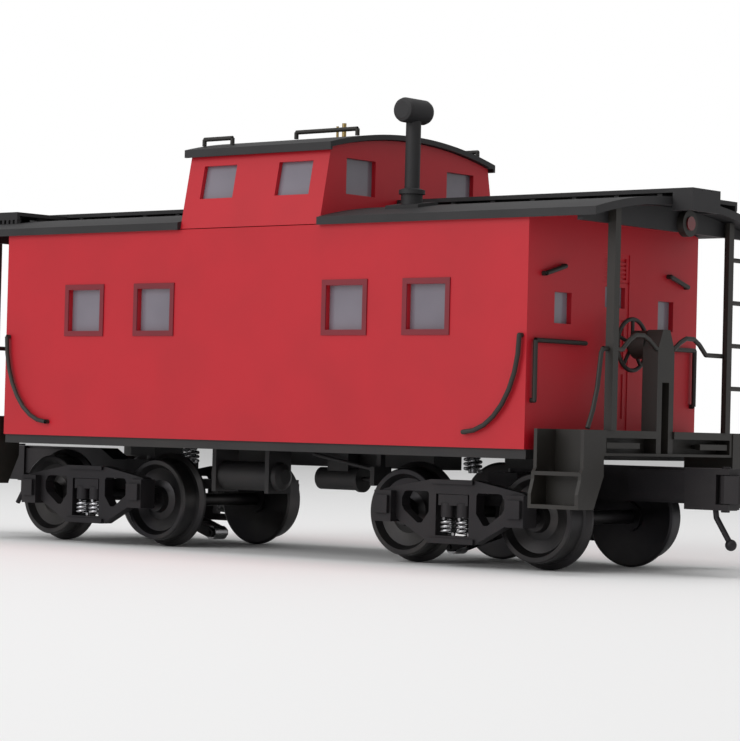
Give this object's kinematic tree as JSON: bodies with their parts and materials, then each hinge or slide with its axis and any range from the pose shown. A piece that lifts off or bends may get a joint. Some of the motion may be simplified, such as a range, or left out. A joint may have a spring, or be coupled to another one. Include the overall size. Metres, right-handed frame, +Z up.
{
  "type": "model_caboose",
  "caption": "O gauge model caboose: hollow red body with cupola, dark roof and running boards, end platforms and two swivelling four-wheel trucks with knuckle couplers",
  "frame": {"origin": "Centre of the footprint at the bottom of the wheel flanges (bounding box bottom centre).", "axes": "+X along the car towards end a, +Y to the left side of the car, +Z up."},
  "size_m": [0.2248, 0.066, 0.1001],
  "materials": {
    "red_paint": "satin",
    "dark_red_trim": "satin",
    "glazing": "gloss",
    "roof_paint": "matte",
    "pin_brass": "satin",
    "black_paint": "matte",
    "red_lens": "gloss",
    "underbody_paint": "matte",
    "bright_steel": "satin",
    "cast_metal": "matte",
    "wheel_metal": "satin"
  },
  "bodies": {
    "car_body": {"body_shell": "red_paint", "cupola_shell": "red_paint", "end_doors": "red_paint", "window_casings": "dark_red_trim", "side_glazing": "glazing", "end_glazing": "glazing", "cupola_glazing": "glazing", "cupola_roof": "roof_paint", "roof_a": "roof_paint", "roof_b": "roof_paint", "roof_walks": "roof_paint", "lateral_walks": "roof_paint", "smoke_jack": "roof_paint", "smoke_jack_head": "roof_paint", "roof_fascias": "roof_paint", "roof_pins": "pin_brass", "cupola_grabs": "black_paint", "side_grabs": "black_paint", "end_grabs": "black_paint", "platform_decks": "black_paint", "end_sills": "black_paint", "corner_steps": "black_paint", "end_posts": "black_paint", "roof_ladders": "black_paint", "end_railings": "black_paint", "marker_lamps": "black_paint", "brake_stands": "black_paint", "cut_levers": "black_paint", "marker_lenses": "red_lens", "floor_pan": "underbody_paint", "centre_sill": "underbody_paint", "body_bolsters": "underbody_paint", "air_tank": "underbody_paint", "tank_straps": "underbody_paint", "brake_cylinder": "underbody_paint", "brake_rigging": "underbody_paint", "kingpins": "bright_steel", "floor_studs": "bright_steel"},
    "truck_a": {"side_frames_a": "cast_metal", "bolster_a": "cast_metal", "springs_a": "bright_steel", "coupler_a": "cast_metal"},
    "truck_b": {"side_frames_b": "cast_metal", "bolster_b": "cast_metal", "springs_b": "bright_steel", "coupler_b": "cast_metal"},
    "wheelset_a1": {"wheelset_a1": "wheel_metal"},
    "wheelset_a2": {"wheelset_a2": "wheel_metal"},
    "wheelset_b1": {"wheelset_b1": "wheel_metal"},
    "wheelset_b2": {"wheelset_b2": "wheel_metal"},
    "brake_wheel_a": {"brake_wheel_a": "black_paint"},
    "brake_wheel_b": {"brake_wheel_b": "black_paint"},
    "pickup_arm_a": {"pickup_arm_a": "cast_metal"},
    "pickup_arm_b": {"pickup_arm_b": "cast_metal"},
    "pickup_roller_a": {"pickup_roller_a": "bright_steel"},
    "pickup_roller_b": {"pickup_roller_b": "bright_steel"},
    "knuckle_a": {"knuckle_a": "cast_metal"},
    "knuckle_b": {"knuckle_b": "cast_metal"}
  },
  "joints": [
    {"name": "truck_a_swivel", "type": "hinge", "parent": "car_body", "child": "truck_a", "pos_m": [0.0546, 0, 0.0208], "axis": [0, 0, 1], "range_deg": [-10, 10]},
    {"name": "wheelset_a1_spin", "type": "hinge", "parent": "truck_a", "child": "wheelset_a1", "pos_m": [0.0371, 0, 0.0109], "axis": [0, 1, 0], "continuous": true},
    {"name": "wheelset_a2_spin", "type": "hinge", "parent": "truck_a", "child": "wheelset_a2", "pos_m": [0.0721, 0, 0.0109], "axis": [0, 1, 0], "continuous": true},
    {"name": "brake_wheel_a_turn", "type": "hinge", "parent": "car_body", "child": "brake_wheel_a", "pos_m": [0.0826, -0.0015, 0.0476], "axis": [1, 0, 0], "continuous": true},
    {"name": "knuckle_a_swing", "type": "hinge", "parent": "truck_a", "child": "knuckle_a", "pos_m": [0.1074, -0.003, 0.018], "axis": [0, 0, 1], "range_deg": [-25, 0]},
    {"name": "pickup_arm_a_lift", "type": "hinge", "parent": "truck_a", "child": "pickup_arm_a", "pos_m": [0.0492, 0, 0.0074], "axis": [0, 1, 0], "range_deg": [0, 8]},
    {"name": "pickup_roller_a_spin", "type": "hinge", "parent": "pickup_arm_a", "child": "pickup_roller_a", "pos_m": [0.0362, 0, 0.003], "axis": [0, 1, 0], "continuous": true},
    {"name": "truck_b_swivel", "type": "hinge", "parent": "car_body", "child": "truck_b", "pos_m": [-0.0546, 0, 0.0208], "axis": [0, 0, 1], "range_deg": [-10, 10]},
    {"name": "wheelset_b1_spin", "type": "hinge", "parent": "truck_b", "child": "wheelset_b1", "pos_m": [-0.0371, 0, 0.0109], "axis": [0, 1, 0], "continuous": true},
    {"name": "wheelset_b2_spin", "type": "hinge", "parent": "truck_b", "child": "wheelset_b2", "pos_m": [-0.0721, 0, 0.0109], "axis": [0, 1, 0], "continuous": true},
    {"name": "brake_wheel_b_turn", "type": "hinge", "parent": "car_body", "child": "brake_wheel_b", "pos_m": [-0.0826, 0.0015, 0.0476], "axis": [1, 0, 0], "continuous": true},
    {"name": "knuckle_b_swing", "type": "hinge", "parent": "truck_b", "child": "knuckle_b", "pos_m": [-0.1074, 0.003, 0.018], "axis": [0, 0, 1], "range_deg": [-25, 0]},
    {"name": "pickup_arm_b_lift", "type": "hinge", "parent": "truck_b", "child": "pickup_arm_b", "pos_m": [-0.0492, 0, 0.0074], "axis": [0, -1, 0], "range_deg": [0, 8]},
    {"name": "pickup_roller_b_spin", "type": "hinge", "parent": "pickup_arm_b", "child": "pickup_roller_b", "pos_m": [-0.0362, 0, 0.003], "axis": [0, 1, 0], "continuous": true}
  ]
}
